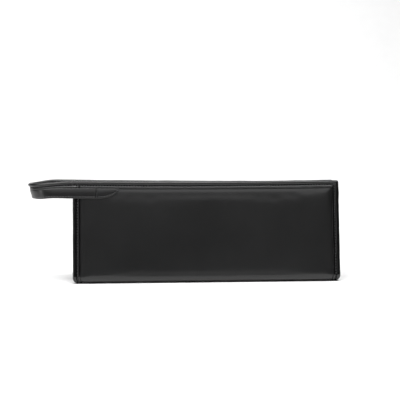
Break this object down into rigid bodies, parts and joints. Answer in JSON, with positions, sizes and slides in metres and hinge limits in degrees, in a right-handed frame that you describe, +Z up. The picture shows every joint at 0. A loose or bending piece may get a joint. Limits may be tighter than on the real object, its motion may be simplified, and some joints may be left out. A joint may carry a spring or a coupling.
{
  "type": "makeup bag",
  "caption": "Long box-shaped makeup bag in smooth black leather with rolled bound edges, a top zip between leaning walls and a wrist strap at one end.",
  "frame": {"origin": "centre of the base's flat resting face", "axes": "+X along the bag's length to its right end, with the wrist strap at -X, +Y from the front panel to the back panel, +Z up to the zip"},
  "size_m": [0.3875, 0.0756, 0.125],
  "materials": {
    "black_leather": "smooth satin",
    "lining_cloth": "fine weave",
    "foam_board": "matt foam",
    "filler_cord": "matt",
    "zip_tape": "woven",
    "zip_teeth": "satin",
    "zip_metal": "gloss black"
  },
  "bodies": {
    "bag": {"outer_wrap": "black_leather", "left_gusset": "black_leather", "right_gusset": "black_leather", "left_binding": "black_leather", "right_binding": "black_leather", "front_top_binding": "black_leather", "back_top_binding": "black_leather", "zip_tail_tab": "black_leather", "front_strap_tab": "black_leather", "back_strap_tab": "black_leather", "lining_wrap": "lining_cloth", "left_gusset_lining": "lining_cloth", "right_gusset_lining": "lining_cloth", "front_stiffener": "foam_board", "back_stiffener": "foam_board", "base_stiffener": "foam_board", "left_binding_cord": "filler_cord", "right_binding_cord": "filler_cord", "front_top_cord": "filler_cord", "back_top_cord": "filler_cord", "front_zip_facing": "black_leather", "back_zip_facing": "black_leather", "left_zip_end": "zip_tape", "right_zip_end": "zip_tape"},
    "front_zip_flap": {"front_zip_tape": "zip_tape", "front_zip_teeth": "zip_teeth"},
    "back_zip_flap": {"back_zip_tape": "zip_tape", "back_zip_teeth": "zip_teeth"},
    "slider": {"zip_slider": "zip_metal"},
    "pull": {"zip_pull": "zip_metal"},
    "wrist_loop": {"wrist_loop": "black_leather"}
  },
  "joints": [
    {"name": "front_zip_flap", "type": "hinge", "parent": "bag", "child": "front_zip_flap", "pos_m": [0, -0.0136, 0.117], "axis": [1, 0, 0], "range_deg": [0, 80]},
    {"name": "back_zip_flap", "type": "hinge", "parent": "bag", "child": "back_zip_flap", "pos_m": [0, 0.0136, 0.117], "axis": [-1, 0, 0], "range_deg": [0, 80]},
    {"name": "zip_slide", "type": "slide", "parent": "bag", "child": "slider", "axis": [1, 0, 0], "range_m": [-0.285, 0]},
    {"name": "pull_hinge", "type": "hinge", "parent": "slider", "child": "pull", "pos_m": [0.146, 0, 0.1211], "axis": [0, 1, 0], "range_deg": [0, 140]},
    {"name": "strap_flex", "type": "hinge", "parent": "bag", "child": "wrist_loop", "pos_m": [-0.1759, 0, 0.115], "axis": [0, 1, 0], "range_deg": [-35, 35], "stiffness_Nm_per_rad": 0.12}
  ]
}
